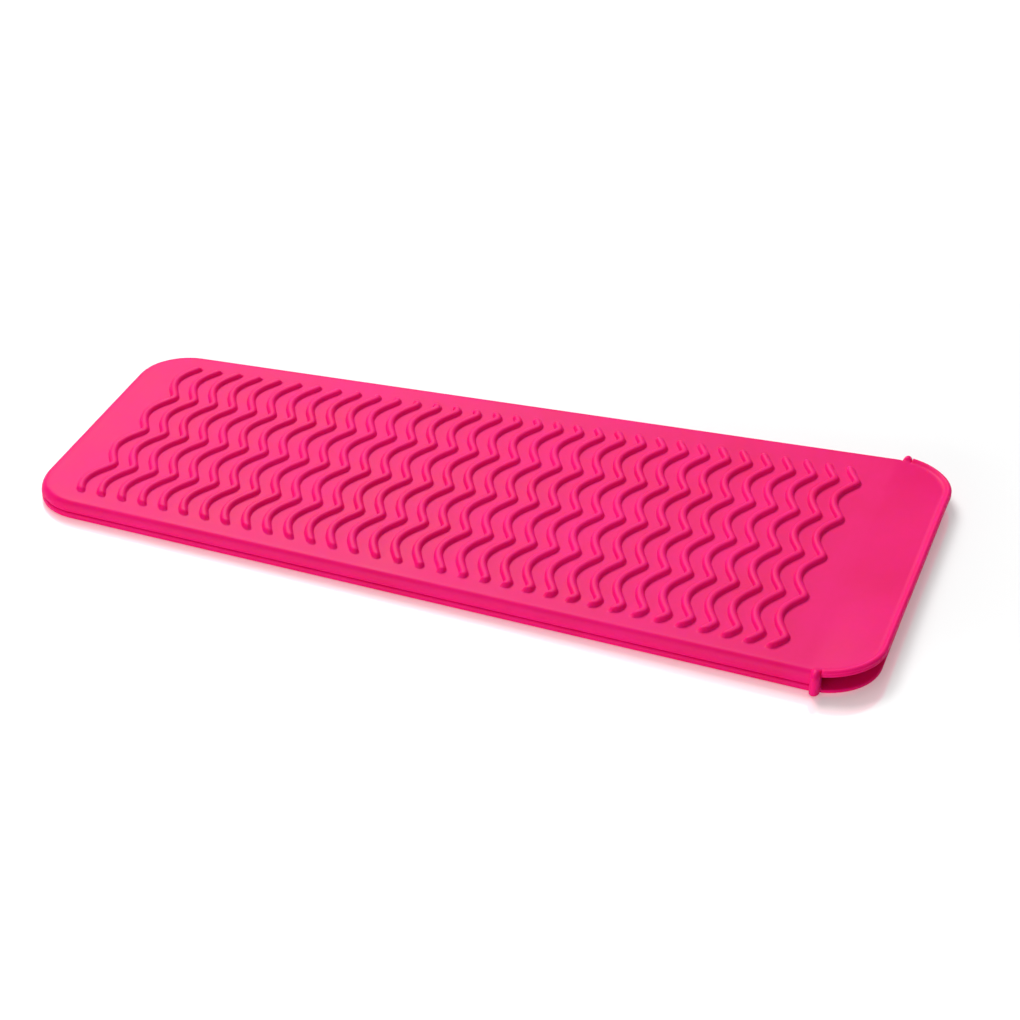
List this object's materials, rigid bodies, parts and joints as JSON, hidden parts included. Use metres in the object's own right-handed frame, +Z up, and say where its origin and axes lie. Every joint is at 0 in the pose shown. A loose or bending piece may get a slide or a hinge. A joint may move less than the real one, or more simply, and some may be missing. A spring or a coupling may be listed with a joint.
{
  "type": "heat-resistant silicone mat for a hair straightener",
  "caption": "Flat tapered silicone pocket with wavy ridges on top, closed at the narrow end and open at the wide end, to rest or hold a hot hair straightener.",
  "frame": {"origin": "under the middle of the mat, on the surface that it lies on", "axes": "+X from the closed end to the mouth, +Y to the far side, +Z up"},
  "size_m": [0.2812, 0.134, 0.0094],
  "materials": {
    "top_silicone": "satin moulded silicone, hot pink, with fine texture",
    "wall_silicone": "satin moulded silicone, hot pink, smooth",
    "base_silicone": "matt moulded silicone, hot pink"
  },
  "bodies": {
    "mouth_half": {"bottom_sheet_mouth_half": "base_silicone", "top_sheet_mouth_half": "top_silicone", "near_wall_mouth_half": "wall_silicone", "far_wall_mouth_half": "wall_silicone", "near_stop_rib": "wall_silicone", "far_stop_rib": "wall_silicone"},
    "closed_half": {"bottom_sheet_closed_half": "base_silicone", "top_sheet_closed_half": "top_silicone", "closed_end_wall": "wall_silicone", "near_wall_closed_half": "wall_silicone", "far_wall_closed_half": "wall_silicone"},
    "top_lip": {"top_lip": "top_silicone"},
    "bottom_lip": {"bottom_lip": "base_silicone"}
  },
  "joints": [
    {"name": "fold_for_storage", "type": "hinge", "parent": "mouth_half", "child": "closed_half", "pos_m": [0, 0, 0.0082], "axis": [0, 1, 0], "range_deg": [0, 150], "stiffness_Nm_per_rad": 0.003},
    {"name": "top_lip_lift", "type": "hinge", "parent": "mouth_half", "child": "top_lip", "pos_m": [0.125, 0, 0.0065], "axis": [0, -1, 0], "range_deg": [0, 35], "stiffness_Nm_per_rad": 0.01},
    {"name": "bottom_lip_drop", "type": "hinge", "parent": "mouth_half", "child": "bottom_lip", "pos_m": [0.125, 0, 0.0003], "axis": [0, 1, 0], "range_deg": [0, 25], "stiffness_Nm_per_rad": 0.01}
  ]
}
